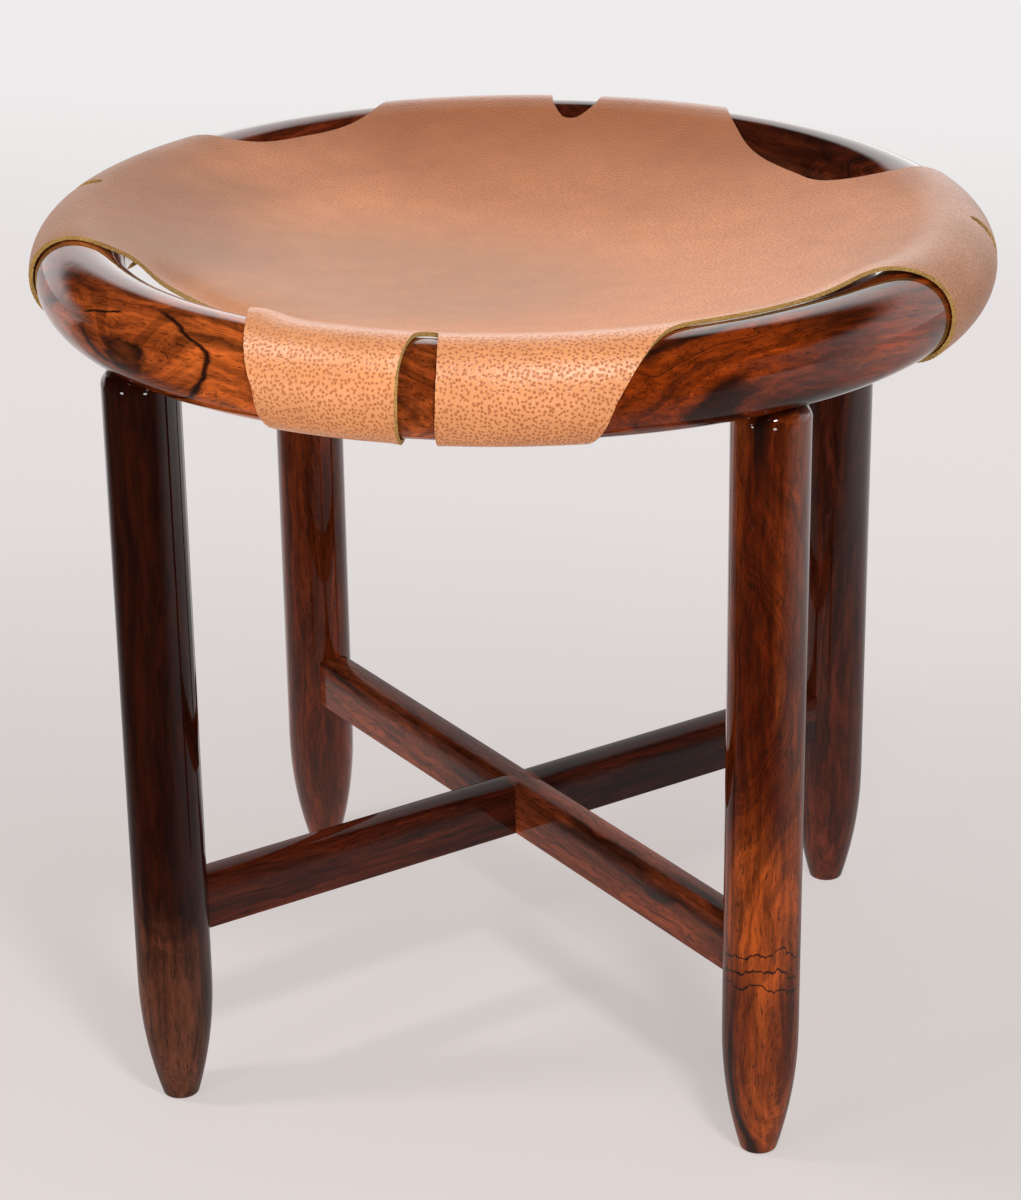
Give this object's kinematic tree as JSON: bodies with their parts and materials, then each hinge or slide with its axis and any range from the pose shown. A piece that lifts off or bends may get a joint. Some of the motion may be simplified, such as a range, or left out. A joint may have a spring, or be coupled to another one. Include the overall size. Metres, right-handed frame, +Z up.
{
  "type": "stool",
  "caption": "Round wooden stool: turned legs tied by crossed bars carry a thick round rail, and a leather hide slung over the rail and slit in lobes is the seat.",
  "frame": {"origin": "the point on the floor midway between the four feet, on the axis of the round rail", "axes": "+Z up, -Y towards the front of the picture, with two legs at the front and two at the back, +X to the right of someone who looks at the front"},
  "size_m": [0.4964, 0.4964, 0.4517],
  "materials": {
    "rosewood": "glossy clear lacquer over strongly figured rosewood",
    "tenon_wood": "bare, glued in",
    "leather": "natural vegetable-tanned leather with a fine grain and raw cut edges",
    "tack_brass": "plain, slightly dulled"
  },
  "bodies": {
    "root": {"leg_front_left": "rosewood", "rail_front_left": "rosewood", "leg_dowel_front_left": "tenon_wood", "leg_front_right": "rosewood", "rail_front_right": "rosewood", "leg_dowel_front_right": "tenon_wood", "leg_back_right": "rosewood", "rail_back_right": "rosewood", "leg_dowel_back_right": "tenon_wood", "leg_back_left": "rosewood", "rail_back_left": "rosewood", "leg_dowel_back_left": "tenon_wood", "rail_tenon_front": "tenon_wood", "tacks_front": "tack_brass", "rail_tenon_right": "tenon_wood", "tacks_right": "tack_brass", "rail_tenon_back": "tenon_wood", "tacks_back": "tack_brass", "rail_tenon_left": "tenon_wood", "tacks_left": "tack_brass", "stretcher_upper": "rosewood", "stretcher_lower": "rosewood", "leather_seat": "leather"}
  },
  "joints": []
}
